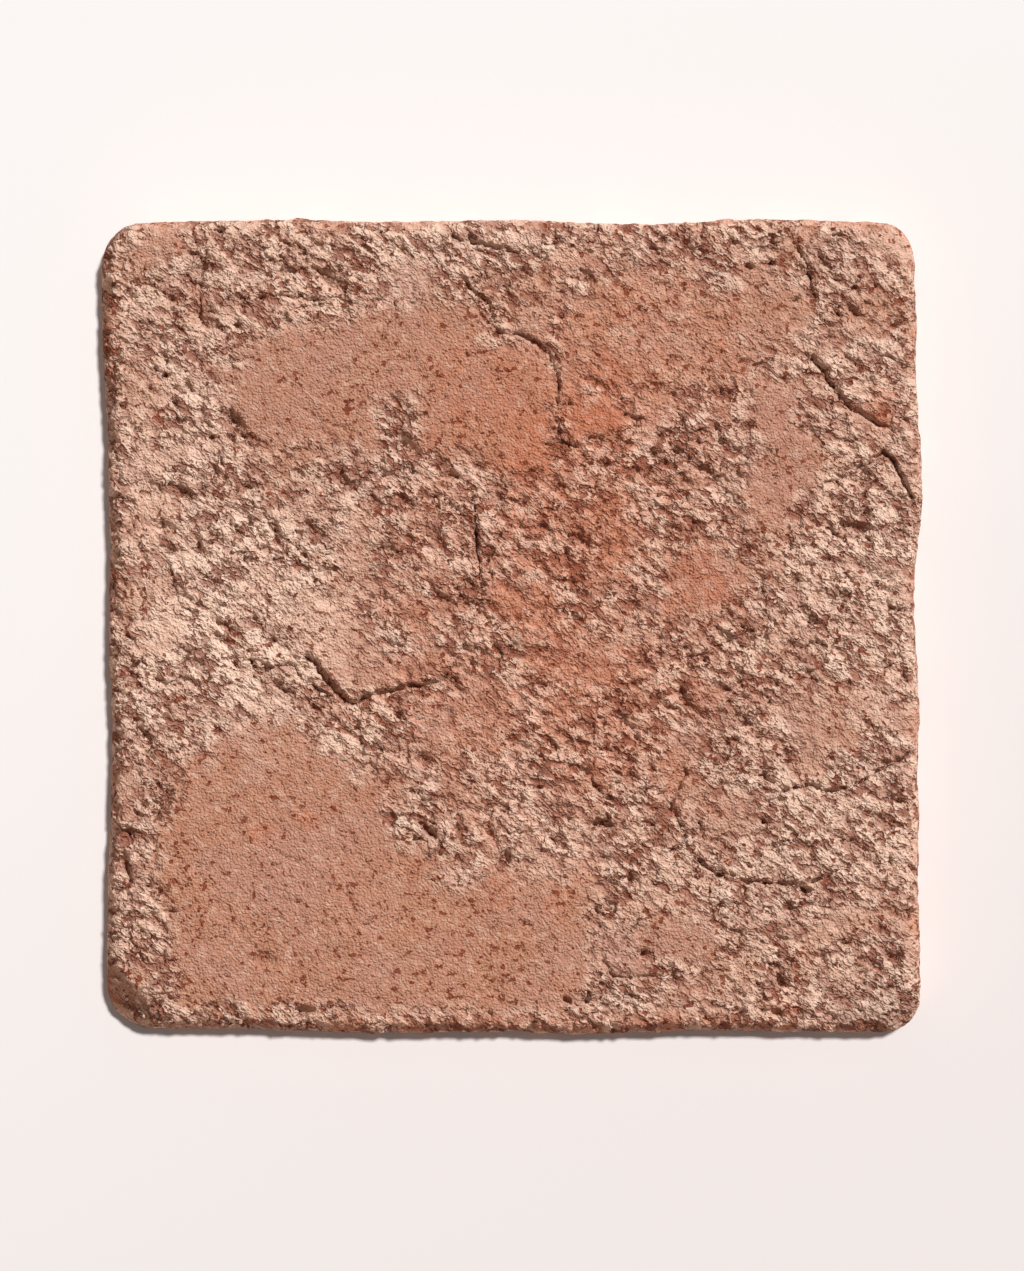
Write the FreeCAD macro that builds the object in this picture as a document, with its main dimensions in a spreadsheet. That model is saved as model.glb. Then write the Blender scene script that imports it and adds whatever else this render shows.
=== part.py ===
import FreeCAD, Part
import math
import os
import Sketcher
from FreeCAD import Placement, Rotation, Vector

# A hand-made terracotta floor tile, 30 cm square: one slab of fired clay, lying face up.
# Z = 0 is its bed, +Y is the far edge, and the origin is under the middle of its outline.
doc = FreeCAD.newDocument("TerracottaFloorTile")
sheet = doc.addObject("Spreadsheet::Sheet", "Dimensions")


def dimension(name, value, note):
    """One row of the sheet: what it is, and its value in millimetres or degrees."""
    dimension.row += 1
    sheet.set("A%d" % dimension.row, note)
    sheet.set("B%d" % dimension.row, str(value))
    sheet.setAlias("B%d" % dimension.row, name)


dimension.row = 0


def size(name):
    return float(sheet.get(name))


# The slab
dimension("width", 298, "between the left and right sides")
dimension("length", 297, "between the near and far sides")
dimension("thickness", 22, "at the highest point of the face")
dimension("arris", 3.4, "width taken off round the edge of the face")
dimension("arris_ease", 1.2, "width taken off each corner that the arris leaves")
dimension("foot", 1.2, "width taken off round the edge of the bed")
dimension("overrun", 8, "how far a cutting shape runs past the clay")

# How far each side bulges outwards, at even steps from its first corner to its last,
# going round against the clock from the near left corner
bulges = {
    "near": [-0.9, -1.9, -0.1, 0.4, 0.3, -0.4, 1.2, -0.2, -0.6, -0.2, 0.1],
    "right": [1.2, -0.9, 0.4, -0.7, 0.7, -1.9, -1.6, 2.5, -0.4, -1.5, -0.8],
    "far": [-0.1, 0.9, 0.5, -1.9, -0.3, 0.3, 0.4, -1.0, 1.1, 0.1, -0.1],
    "left": [1.7, 1.2, -1.2, -1.1, -2.2, -0.8, -2.4, -2.6, -1.6, -0.9, -0.4],
}
for side, steps in bulges.items():
    for number, bulge in enumerate(steps, 1):
        dimension("%s_bulge_%d" % (side, number), bulge, "%s side, step %d" % (side, number))

# Each corner: how far it stands in from the full width and length, and its radius
corners = {"near_left": (0.6, 1.3, 17), "near_right": (0.2, -0.2, 13),
           "far_right": (2.5, 0.9, 13), "far_left": (-1.0, 1.1, 16)}
for corner, (in_x, in_y, radius) in corners.items():
    dimension(corner + "_in_x", in_x, "corner, in from the width")
    dimension(corner + "_in_y", in_y, "corner, in from the length")
    dimension(corner + "_radius", radius, "corner, radius in plan")

# Wear of the face below its highest point, across the tile at five sections
wear_sections = {
    "near": [1.7, 0.7, 0.6, 0.7, 0.8, 1.1, 1.8],
    "near_half": [1.1, 0.5, 0.5, 0.9, 0.8, 1.0, 1.1],
    "middle": [1.0, 1.1, 0.8, 0.9, 0.6, 0.9, 1.4],
    "far_half": [1.0, 0.5, 0.5, 0.8, 0.6, 0.6, 1.3],
    "far": [1.3, 1.0, 0.9, 1.2, 0.8, 1.1, 2.0],
}
for row, depths in wear_sections.items():
    for number, depth in enumerate(depths, 1):
        dimension("wear_%s_%d" % (row, number), depth, "wear at the %s section, step %d" % (row, number))

# Breaks at the corners: where each one starts on the face, its turn in plan, and its fall
corner_breaks = {
    "near_left": ((-148, -119), (-125, -147), 34),
    "far_left": ((-143.5, 142), (-149.5, 122), 38),
    "far_right": ((147.5, 129), (134, 144), 24),
    "near_right": ((131, -147), (149, -131), 30),
}
for corner, (start, end, fall) in corner_breaks.items():
    dimension(corner + "_break_fall", fall, "slope of the broken corner, in degrees")

# Bites out of the edge: the middle of each, how wide it is at the face, and how far it
# runs down the side
bites = {
    "right_notch": (154.5, -7, 18, 16),
    "right_nick": (151.0, -47, 7, 8),
    "right_half_moon": (149.5, -106, 10, 5),
    "left_nick": (-152.0, 116, 9, 6),
    "left_dip": (-150.5, -75, 16, 7),
}
for name, (x, y, wide, drop) in bites.items():
    dimension(name + "_breadth", wide, "breadth of a bite out of the edge")
    dimension(name + "_drop", drop, "how far it runs down the side")

# Hollows in the face: place, length, breadth, depth, and turn against the clock from +X
hollows = {
    "near_dent": (32, -72.5, 12, 5, 2.4, 0),
    "near_left_bowl": (-76, -141, 9, 6, 2.4, 10),
    "near_slot": (-30.5, -74.5, 9, 3.5, 1.8, -35),
    "near_gap": (-2.5, -84.5, 8, 4.5, 2.0, 70),
    "far_right_dent": (125, 115, 7, 4, 2.0, -40),
    "far_right_slot": (94, 132.5, 8, 2.5, 1.8, 0),
    "far_right_pit": (86.5, 131.5, 4, 3, 2.0, 0),
    "right_pocket": (126, 36, 17, 6, 2.4, -8),
    "far_centre_dip": (-23, 55, 10, 4, 1.6, 0),
    "upper_dip": (8.5, 36, 5, 4, 1.6, 40),
    "near_left_slot": (-125, -104, 7, 2, 1.8, 0),
    "near_comma": (48, -120, 5, 2.5, 1.8, 60),
    "near_pit": (20, -137, 4.5, 3.5, 2.0, 0),
    "far_left_pit": (-107.5, 145, 5, 3.5, 1.8, 0),
    "centre_pit": (-41.5, -33, 5, 3, 1.8, 70),
    "left_lens": (-128, -6.5, 14, 4, 1.6, 32),
    "far_left_hollow": (-114, 131, 10, 6, 2.0, 60),
    "near_right_hollow": (106, -96.5, 10, 5, 2.4, 0),
    "left_scoop": (-101, 74, 12, 7, 1.4, -40),
    "left_scoop_side": (-112, 69, 9, 6, 0.9, -20),
    "patch_foot_scoop": (-61, 52, 13, 6, 1.1, -45),
    "patch_step_scoop": (-38, 66, 14, 7, 1.2, -50),
    "centre_left_scoop": (-46, 44, 10, 6, 0.9, -30),
    "centre_left_trough": (-48, 27, 12, 6, 1.0, -10),
    "slit_scoop_left": (-29, 27, 11, 6, 1.1, -20),
    "slit_scoop": (-9, 27, 7, 9, 1.2, 0),
    "centre_row_left": (-67, 9, 12, 7, 1.1, -20),
    "centre_row_middle": (-49, 9, 10, 6, 1.0, 0),
    "centre_row_right": (-27, 10, 12, 5, 1.0, 0),
    "upper_trough": (4, 44, 20, 7, 1.2, -40),
    "centre_trough": (-14, -9, 15, 6, 1.1, -15),
    "centre_scoop": (8, -10, 15, 8, 1.1, 0),
    "lower_scoop": (-33, -48, 9, 7, 1.0, -30),
    "fold_scoop": (62, -9, 9, 6, 1.0, 0),
    "cleft_scoop": (64, -28, 14, 6, 1.0, -40),
    "right_scoop": (108, 3, 13, 6, 1.1, -55),
    "split_scoop": (128, 54, 11, 9, 1.5, 20),
    "left_edge_scoop": (-134, 50, 16, 9, 1.2, -20),
    "left_edge_trough": (-127, 36, 14, 6, 1.1, -10),
    "left_edge_run": (-114, 28, 13, 5, 0.9, -60),
    "far_left_scoop": (-111, 110, 9, 8, 1.2, -30),
    "far_left_run": (-66, 126, 15, 9, 1.2, -40),
    "far_scoop": (56, 124, 10, 6, 0.9, -20),
    "right_patch_scoop": (69, 57, 17, 6, 1.1, -30),
    "lobe_scoop": (60, -57, 13, 6, 1.0, 65),
    "lobe_scoop_right": (91, -61, 13, 5, 1.0, -60),
    "near_right_scoop": (70, -132, 14, 7, 1.1, -30),
    "near_run": (45, -129, 12, 5, 0.9, -35),
    "near_left_scoop": (-90, -122, 9, 8, 1.2, 0),
    "lower_right_scoop": (65, -86, 10, 7, 0.9, -30),
}
for name, (x, y, long, wide, deep, turned) in hollows.items():
    dimension(name + "_length", long, "length of a hollow in the face")
    dimension(name + "_breadth", wide, "breadth of that hollow")
    dimension(name + "_depth", deep, "depth of that hollow")

# Tears in the face: width, depth, and the line that each one follows
fissures = {
    "left_step": (2.0, 1.5, [(-96, -12), (-88, -15), (-80, -14), (-76, -20), (-68, -25), (-66, -28)]),
    "centre_step": (3.0, 2.0, [(-81, -8), (-72, -13), (-69, -18), (-63, -25), (-58, -28.5),
                               (-50, -24.5), (-35, -22), (-20, -18.5)]),
    "near_right_crack": (1.8, 1.6, [(62, -50), (64, -53.5), (60, -60), (58, -66), (61, -71.5),
                                    (64, -80), (69, -86), (75, -91), (82, -94.5)]),
    "near_right_gash": (2.4, 1.6, [(78, -90), (86, -93.5), (100, -94), (110, -93.5), (118, -90.5),
                                   (129, -83)]),
    "right_fold": (2.0, 1.6, [(84, -53), (92, -55), (100, -60), (108, -57.5), (117, -60.5),
                              (124, -58.5), (132, -54.5), (140, -50), (153, -43)]),
    "middle_fold": (1.8, 1.3, [(50, -9), (63, -12), (70, -10), (76, -7), (84, -3), (97, 1)]),
    "far_right_tear": (2.4, 1.8, [(106, 101), (113, 94), (119, 85), (124, 79.5), (134, 74), (140, 71)]),
    "far_right_rent": (2.4, 1.6, [(103, 141), (105, 137), (108, 133), (109, 128), (110, 118)]),
    "split_edge": (2.6, 3.0, [(122, 57), (132, 60), (136, 64), (139, 61), (143.5, 52), (147, 46),
                              (147, 38), (149, 28)]),
    "far_chain": (2.2, 1.4, [(-20, 131), (-16, 124), (-9, 118), (-6, 111)]),
    "far_seam": (1.8, 1.5, [(-11, 108.5), (-3, 107), (3, 107), (9, 103.5), (13.5, 99.5), (17, 91),
                            (16, 76), (18, 68), (24, 65.5), (30, 69.5), (42, 70.5)]),
    "centre_slit": (1.6, 4.0, [(-14, 49), (-13, 33), (-12.3, 24), (-12, 16)]),
    "near_slit": (1.2, 1.0, [(-34, -38), (-34, -58)]),
    "near_fold": (2.6, 1.6, [(26, -50), (30, -58), (35, -63), (45, -65)]),
    "near_crescent": (2.0, 1.5, [(32, -118), (33, -122), (37, -128), (43, -128.5), (50, -128), (64, -127)]),
    "far_left_fissure": (2.0, 1.6, [(-114, 128), (-114, 113), (-110, 108)]),
    "far_left_step": (2.0, 1.3, [(-110, 120), (-92, 120), (-84, 121), (-70, 119.5), (-64, 122)]),
    "right_cleft": (3.0, 1.8, [(61, -20), (63, -28), (72, -33)]),
    "left_crack": (2.2, 1.8, [(-153, -30), (-143, -21.5), (-138, -14), (-134, -10)]),
    "left_trough": (4.0, 2.0, [(-142, -82), (-141, -88), (-140, -92), (-141, -99)]),
    "far_hollow": (4.0, 2.2, [(-16, 149), (-15, 141), (-8, 139), (0, 137)]),
}
for name, (width, depth, line) in fissures.items():
    dimension(name + "_width", width, "width of a tear in the face")
    dimension(name + "_depth", depth, "depth of that tear")
doc.recompute()


def origin_plane(body, role):
    return next(part for part in body.Origin.OriginFeatures if part.Role == role)


def add_spline(sketch, poles, degree=3):
    """A clamped B-spline with one pole at each point, its weights all equal."""
    inner = len(poles) - degree - 1
    knots = [float(knot) for knot in range(inner + 2)]
    curve = Part.BSplineCurve()
    curve.buildFromPolesMultsKnots(poles, [degree + 1] + [1] * inner + [degree + 1], knots, False, degree)
    spline = sketch.addGeometry(curve, False)
    handles = []
    for number, pole in enumerate(poles):
        handle = sketch.addGeometry(Part.Circle(pole, Vector(0, 0, 1), 1.0), True)
        kind = "InternalAlignment:Sketcher::BSplineControlPoint"
        sketch.addConstraint(Sketcher.Constraint(kind, handle, 3, spline, number))
        if handles:
            sketch.addConstraint(Sketcher.Constraint("Equal", handles[0], handle))
        else:
            sketch.addConstraint(Sketcher.Constraint("Weight", handle, 1.0))
        handles.append(handle)
    return spline, handles


def place(sketch, geometry, vertex, name, across, up):
    """Ties one point of a sketch to the origin by two expressions on the sheet."""
    for axis, value, kind in (("x", across, "DistanceX"), ("y", up, "DistanceY")):
        index = sketch.addConstraint(Sketcher.Constraint(kind, -1, 1, geometry, vertex, 1.0))
        sketch.renameConstraint(index, "%s_%s" % (name, axis))
        sketch.setExpression("Constraints.%s_%s" % (name, axis), value)


tile = doc.addObject("PartDesign::Body", "Slab")
outline = tile.newObject("Sketcher::SketchObject", "Outline")
outline.AttachmentSupport = [(origin_plane(tile, "XY_Plane"), "")]
outline.MapMode = "FlatFace"

# Each side runs from its own corner to the next one: first corner, the axis that it
# follows, and the way that it faces
turn = {"near": ("near_left", "near_right", "x", -1), "right": ("near_right", "far_right", "y", 1),
        "far": ("far_right", "far_left", "x", 1), "left": ("far_left", "near_left", "y", -1)}
corner_signs = {"near_left": (-1, -1), "near_right": (1, -1), "far_right": (1, 1), "far_left": (-1, 1)}


def corner_at(corner):
    """The expressions of a corner's place."""
    sign_x, sign_y = corner_signs[corner]
    return ("%d * (Dimensions.width / 2 - Dimensions.%s_in_x)" % (sign_x, corner),
            "%d * (Dimensions.length / 2 - Dimensions.%s_in_y)" % (sign_y, corner))


splines = []
for side, (first, last, axis, facing) in turn.items():
    steps = len(bulges[side]) + 1
    along = corner_signs[first][0 if axis == "x" else 1]
    places = [corner_at(first)]
    for number in range(1, steps):
        share = along * (0.5 - number / steps)
        run = "%.5f * Dimensions.%s" % (share, "width" if axis == "x" else "length")
        reach = "%d * (Dimensions.%s / 2 + Dimensions.%s_bulge_%d)" % (
            facing, "length" if axis == "x" else "width", side, number)
        places.append((run, reach) if axis == "x" else (reach, run))
    places.append(corner_at(last))
    reach, half = size("width") / 2, size("length") / 2
    start = Vector(reach * corner_signs[first][0], half * corner_signs[first][1])
    end = Vector(reach * corner_signs[last][0], half * corner_signs[last][1])
    poles = [start + (end - start) * (number / steps) for number in range(steps + 1)]
    spline, handles = add_spline(outline, poles)
    for number, handle in enumerate(handles[:-1]):
        place(outline, handle, 3, "%s_%d" % (side, number), *places[number])
    splines.append(spline)
for number, spline in enumerate(splines):
    follower = splines[(number + 1) % len(splines)]
    outline.addConstraint(Sketcher.Constraint("Coincident", spline, 2, follower, 1))

pad = tile.newObject("PartDesign::Pad", "PressedClay")
pad.Profile = outline
pad.setExpression("Length", "Dimensions.thickness")
doc.recompute()


def edge_names(shape, wanted):
    """The names of the edges that a test picks out."""
    return ["Edge%d" % number for number, edge in enumerate(shape.Edges, 1) if wanted(edge)]


def rounded_corner(base, corner):
    """Rounds one upright edge of the pad to its corner's radius."""
    sign_x, sign_y = corner_signs[corner]

    def at_corner(edge):
        first, last = edge.Vertexes[0].Point, edge.Vertexes[-1].Point
        upright = (last - first).getAngle(Vector(0, 0, 1)) in (0.0, math.pi)
        return (upright and first.x * sign_x > size("width") / 4
                and first.y * sign_y > size("length") / 4)
    rounding = tile.newObject("PartDesign::Fillet", "Corner_" + corner)
    rounding.Base = (base, edge_names(base.Shape, at_corner))
    rounding.setExpression("Radius", "Dimensions.%s_radius" % corner)
    doc.recompute()
    return rounding


feature = pad
for corner in corner_signs:
    feature = rounded_corner(feature, corner)

foot = tile.newObject("PartDesign::Chamfer", "Foot")
foot.Base = (feature, edge_names(feature.Shape, lambda edge: edge.BoundBox.ZMax < 0.001))
foot.setExpression("Size", "Dimensions.foot")

# The worn face: five waved sections across the tile, each with the waste above it, and a
# loft through them that takes the waste away
section_places = {"near": -0.5, "near_half": -0.25, "middle": 0, "far_half": 0.25, "far": 0.5}


def wear_section(row, share):
    section = tile.newObject("Sketcher::SketchObject", "Wear_" + row)
    section.AttachmentSupport = [(origin_plane(tile, "XZ_Plane"), "")]
    section.MapMode = "FlatFace"
    section.setExpression("AttachmentOffset.Base.z",
                          "%g * (Dimensions.length + 2 * Dimensions.overrun)" % -share)
    steps = len(wear_sections[row]) - 1
    span, waste = size("width") + 2 * size("overrun"), Vector(0, size("overrun"))
    poles = [Vector(span * (number / steps - 0.5), size("thickness")) for number in range(steps + 1)]
    wave, handles = add_spline(section, poles)
    for number, handle in enumerate(handles):
        place(section, handle, 3, "step_%d" % (number + 1),
              "%.5f * (Dimensions.width + 2 * Dimensions.overrun)" % (number / steps - 0.5),
              "Dimensions.thickness - Dimensions.wear_%s_%d" % (row, number + 1))
    right = section.addGeometry(Part.LineSegment(poles[-1], poles[-1] + waste), False)
    top = section.addGeometry(Part.LineSegment(poles[-1] + waste, poles[0] + waste), False)
    left = section.addGeometry(Part.LineSegment(poles[0] + waste, poles[0]), False)
    for first, second in ((wave, right), (right, top), (top, left), (left, wave)):
        section.addConstraint(Sketcher.Constraint("Coincident", first, 2, second, 1))
    section.addConstraint(Sketcher.Constraint("Vertical", right))
    section.addConstraint(Sketcher.Constraint("Vertical", left))
    section.addConstraint(Sketcher.Constraint("Horizontal", top))
    height = section.addConstraint(Sketcher.Constraint("DistanceY", -1, 1, top, 1, poles[0].y))
    section.renameConstraint(height, "waste_height")
    section.setExpression("Constraints.waste_height", "Dimensions.thickness + Dimensions.overrun")
    return section


sections = [wear_section(row, share) for row, share in section_places.items()]
doc.recompute()
worn_face = tile.newObject("PartDesign::SubtractiveLoft", "WornFace")
worn_face.Profile = sections[0]
worn_face.Sections = sections[1:]
worn_face.Refine = False
doc.recompute()


def top_face(shape):
    """The worn face itself: the largest one in the upper half."""
    upper = [face for face in shape.Faces if face.CenterOfMass.z > size("thickness") / 2]
    return max(upper, key=lambda face: face.Area)


def is_one_of(edge, edges):
    return any(edge.isSame(other) for other in edges)


# The arris is worn off in three facets: a wide one, then one at each of its two edges
rim = top_face(worn_face.Shape).OuterWire.Edges
arris = tile.newObject("PartDesign::Chamfer", "Arris")
arris.Base = (worn_face, edge_names(worn_face.Shape, lambda edge: is_one_of(edge, rim)))
arris.setExpression("Size", "Dimensions.arris")
doc.recompute()

rim = top_face(arris.Shape).OuterWire.Edges
worn_facets = [face for face in arris.Shape.Faces if not face.isSame(top_face(arris.Shape))
               and any(is_one_of(edge, rim) for edge in face.Edges)]
lower_rim = [edge for face in worn_facets for edge in face.Edges
             if edge.BoundBox.ZMax - edge.BoundBox.ZMin < size("arris") / 2 and not is_one_of(edge, rim)]
ease = tile.newObject("PartDesign::Chamfer", "ArrisEase")
ease.Base = (arris, edge_names(arris.Shape, lambda edge: is_one_of(edge, rim + lower_rim)))
ease.setExpression("Size", "Dimensions.arris_ease")
doc.recompute()


worn_surface = top_face(tile.Shape).Surface
hollow_sides = 8


def face_height(x, y):
    """How high the worn face stands over the bed at a place on the tile."""
    plumb_line = Part.Line(Vector(x, y, 0), Vector(x, y, size("thickness")))
    met = plumb_line.intersectCS(worn_surface)[0]
    return met[0].Z


def corner_break(corner, start, end):
    """A block whose underside is the broken slope: its X runs along the slope's upper edge."""
    run = Vector(*end) - Vector(*start)
    outward = Vector(run.y, -run.x).normalize()
    if outward.dot(Vector(*start)) < 0:
        outward = outward * -1
    fall = math.radians(size(corner + "_break_fall"))
    downhill = outward * math.cos(fall) - Vector(0, 0, math.sin(fall))
    normal = outward * math.sin(fall) + Vector(0, 0, math.cos(fall))
    along = downhill.cross(normal)
    middle = (Vector(*start) + Vector(*end)) / 2
    block = doc.addObject("Part::Box", "Break_" + corner)
    block.setExpression("Length", "4 * Dimensions.%s_radius" % corner)
    block.setExpression("Width", "2 * Dimensions.%s_radius" % corner)
    block.setExpression("Height", "2 * Dimensions.overrun")
    top = Vector(middle.x, middle.y, face_height(middle.x, middle.y))
    corner_point = top - along * (2 * size(corner + "_radius"))
    block.Placement = Placement(corner_point, Rotation(along, downhill, normal, "XYZ"))
    return block


def bite(name, x, y):
    """A cone on its point that knocks a piece out of the edge."""
    cone = doc.addObject("Part::Cone", "Bite_" + name)
    cone.setExpression("Radius1", "Dimensions.%s_breadth / 4" % name)
    cone.setExpression("Radius2", "Dimensions.%s_breadth / 2" % name)
    cone.setExpression("Height", "Dimensions.%s_drop + Dimensions.arris_ease" % name)
    foot_height = face_height(0, 0) - size(name + "_drop")
    cone.Placement = Placement(Vector(x, y, foot_height), Rotation())
    return cone


def hollow(name, x, y, turned):
    """A torn hollow: rings of a few straight sides, which close in towards its bottom."""
    length, breadth, depth = (size(name + "_" + word) for word in ("length", "breadth", "depth"))
    rings = []
    for height, share in ((size("arris_ease"), 1.25), (0, 1.0), (-0.7 * depth, 0.7), (-depth, 0.3)):
        corners = []
        for step in range(hollow_sides):
            angle = 2 * math.pi * step / hollow_sides
            corners.append(Vector(share * length / 2 * math.cos(angle),
                                  share * breadth / 2 * math.sin(angle), height))
        rings.append(Part.makePolygon(corners + corners[:1]))
    pit = doc.addObject("Part::Feature", "Hollow_" + name)
    pit.Shape = Part.makeLoft(rings, True, True)
    pit.Placement = Placement(Vector(x, y, face_height(x, y)), Rotation(Vector(0, 0, 1), turned))
    return pit


def fissure(name, line):
    """A tear of V section along a jagged line, which thins out at both ends."""
    width, depth, over = size(name + "_width"), size(name + "_depth"), size("arris_ease")
    points = [Vector(x, y, face_height(x, y)) for x, y in line]
    profiles = []
    for number, point in enumerate(points):
        before, after = points[max(number - 1, 0)], points[min(number + 1, len(points) - 1)]
        across = (after - before).cross(Vector(0, 0, 1)).normalize()
        at_end = point in (points[0], points[-1])
        deep = depth * (0.15 if at_end else 1)
        half = width * (0.5 if at_end else (deep + over) / deep) / 2
        apex, high = point - Vector(0, 0, deep), point + Vector(0, 0, over)
        profiles.append(Part.makePolygon([apex, high + across * half, high - across * half, apex]))
    tear = doc.addObject("Part::Feature", "Tear_" + name)
    tear.Shape = Part.makeLoft(profiles, True, True)
    return tear


damage = [corner_break(corner, start, end) for corner, (start, end, fall) in corner_breaks.items()]
damage += [bite(name, x, y) for name, (x, y, wide, drop) in bites.items()]
damage += [hollow(name, x, y, turned) for name, (x, y, long, wide, deep, turned) in hollows.items()]
damage += [fissure(name, line) for name, (width, depth, line) in fissures.items()]
doc.recompute()
all_damage = doc.addObject("Part::MultiFuse", "Damage")
all_damage.Shapes = damage
all_damage.Refine = False
floor_tile = doc.addObject("Part::Cut", "FloorTile")
floor_tile.Base = tile
floor_tile.Tool = all_damage
floor_tile.Refine = False
floor_tile.Label = "floor_tile"
doc.recompute()

# The outline's own middle stands over the origin
box = floor_tile.Shape.optimalBoundingBox()
floor_tile.Placement = Placement(Vector(-box.Center.x, -box.Center.y, 0), Rotation())
doc.recompute()

for thing in doc.Objects:
    if "Invalid" in thing.State or "Error" in thing.State:
        raise RuntimeError("%s could not be made" % thing.Label)
before, after = tile.Shape.Volume, floor_tile.Shape.Volume
if floor_tile.Shape.isNull() or not floor_tile.Shape.isValid() or len(floor_tile.Shape.Solids) != 1:
    raise RuntimeError("the tile is not one sound solid")
if not 0.97 * before < after < 0.999 * before:
    raise RuntimeError("the damage takes away too much or nothing")
print("slab %.0f, tile %.0f cubic millimetres" % (before, after))

os.makedirs("parts", exist_ok=True)
floor_tile.Shape.exportStep("parts/%s.step" % floor_tile.Label)
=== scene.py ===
import bpy
import numpy as np
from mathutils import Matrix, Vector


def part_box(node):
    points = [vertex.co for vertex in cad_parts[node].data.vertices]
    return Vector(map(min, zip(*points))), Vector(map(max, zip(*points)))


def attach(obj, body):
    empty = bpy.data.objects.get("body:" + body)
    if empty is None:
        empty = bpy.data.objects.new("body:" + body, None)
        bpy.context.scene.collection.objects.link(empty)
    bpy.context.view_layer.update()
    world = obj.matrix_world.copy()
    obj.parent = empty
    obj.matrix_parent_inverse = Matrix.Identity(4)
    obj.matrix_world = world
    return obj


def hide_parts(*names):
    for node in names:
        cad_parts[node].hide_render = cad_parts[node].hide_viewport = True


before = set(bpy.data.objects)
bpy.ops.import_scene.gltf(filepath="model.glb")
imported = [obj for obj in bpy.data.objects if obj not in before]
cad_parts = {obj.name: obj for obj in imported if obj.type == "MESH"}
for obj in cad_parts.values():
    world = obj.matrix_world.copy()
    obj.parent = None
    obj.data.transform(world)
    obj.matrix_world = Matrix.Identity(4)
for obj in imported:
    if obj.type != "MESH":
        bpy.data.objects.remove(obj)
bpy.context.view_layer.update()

# A hand-made terracotta floor tile, lying face up. Sizes here are in millimetres until they go into a mesh.
# The CAD tile gives the outline, the thickness, the worn face, the bites and the broken corners.
# This script adds the torn, pitted clay on it, its colours, the floor, the lights and the camera.

mm = 0.001
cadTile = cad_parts["floor_tile"]


# Noise and measuring, all on whole arrays.

def hashed(ix, iy, seed):
    # scrambles two whole numbers and a seed into a number from 0 to 1
    mixed = ix.astype(np.int64) * 374761393 + iy.astype(np.int64) * 668265263 + seed * 1274126177
    mixed = mixed & 0xFFFFFFFF
    mixed = ((mixed ^ (mixed >> 13)) * 1103515245) & 0xFFFFFFFF
    mixed = ((mixed ^ (mixed >> 16)) * 2654435761) & 0xFFFFFFFF
    return (mixed ^ (mixed >> 15)) / 4294967296.0


def gradientNoise(x, y, seed):
    # each corner of a unit cell has a slope in a random direction, and the four are blended smoothly
    ix, iy = np.floor(x), np.floor(y)
    fx, fy = x - ix, y - iy
    total = 0
    blendX, blendY = fx * fx * fx * (fx * (fx * 6 - 15) + 10), fy * fy * fy * (fy * (fy * 6 - 15) + 10)
    for stepX in (0, 1):
        for stepY in (0, 1):
            angle = 2 * np.pi * hashed(ix + stepX, iy + stepY, seed)
            slope = np.cos(angle) * (fx - stepX) + np.sin(angle) * (fy - stepY)
            weightX = blendX if stepX else 1 - blendX
            weightY = blendY if stepY else 1 - blendY
            total = total + slope * weightX * weightY
    return 1.4 * total


def layered(x, y, seed, octaves=3, gain=0.5):
    # a sum of gradient noises, each one finer and weaker than the last
    total, weight, scale = 0, 1.0, 1.0
    for number in range(octaves):
        across, up = x * scale + 7.3 * number, y * scale - 3.1 * number
        total = total + weight * gradientNoise(across, up, seed + number)
        weight, scale = weight * gain, scale * 2.03
    return total


def cells(x, y, seed):
    # distance to the nearest of one random point per unit cell, and that cell's own number
    ix, iy = np.floor(x), np.floor(y)
    near = np.full(x.shape, 9.0)
    number = np.zeros(x.shape)
    for stepX in (-1, 0, 1):
        for stepY in (-1, 0, 1):
            cx, cy = ix + stepX, iy + stepY
            px = cx + 0.1 + 0.8 * hashed(cx, cy, seed)
            py = cy + 0.1 + 0.8 * hashed(cx, cy, seed + 17)
            gap = np.hypot(x - px, y - py)
            closer = gap < near
            number = np.where(closer, hashed(cx, cy, seed + 31), number)
            near = np.where(closer, gap, near)
    return near, number


def ease(value, low, high):
    # 0 under low, 1 over high, and a smooth S between them
    share = np.clip((value - low) / (high - low), 0, 1)
    return share * share * (3 - 2 * share)


def turned(x, y, degrees, stretch):
    # coordinates along and across a direction, the first one stretched
    angle = np.radians(degrees)
    return ((x * np.cos(angle) + y * np.sin(angle)) / stretch, -x * np.sin(angle) + y * np.cos(angle))


def distanceToLine(x, y, points):
    # distance to a jagged line, the side it is on (positive to the left of its run), and the share of the way
    best = np.full(x.shape, 1e9)
    side = np.zeros(x.shape)
    along = np.zeros(x.shape)
    points = np.asarray(points, float)
    lengths = np.hypot(*(points[1:] - points[:-1]).T)
    run = 0.0
    for (ax, ay), (bx, by), length in zip(points[:-1], points[1:], lengths):
        ux, uy = (bx - ax) / length, (by - ay) / length
        t = np.clip((x - ax) * ux + (y - ay) * uy, 0, length)
        gapX, gapY = x - ax - t * ux, y - ay - t * uy
        gap = np.hypot(gapX, gapY)
        closer = gap < best
        best = np.where(closer, gap, best)
        side = np.where(closer, np.sign(ux * gapY - uy * gapX), side)
        along = np.where(closer, run + t, along)
        run += length
    return best, side, along / run


def insidePolygon(x, y, points):
    # signed distance to a closed outline, positive inside
    points = np.asarray(points, float)
    ring = np.vstack([points, points[:1]])
    gap = distanceToLine(x, y, ring)[0]
    inside = np.zeros(x.shape, bool)
    for (ax, ay), (bx, by) in zip(ring[:-1], ring[1:]):
        if ay != by:
            crosses = ((ay > y) != (by > y)) & (x < (bx - ax) * (y - ay) / (by - ay) + ax)
            inside ^= crosses
    return np.where(inside, gap, -gap)


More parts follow.
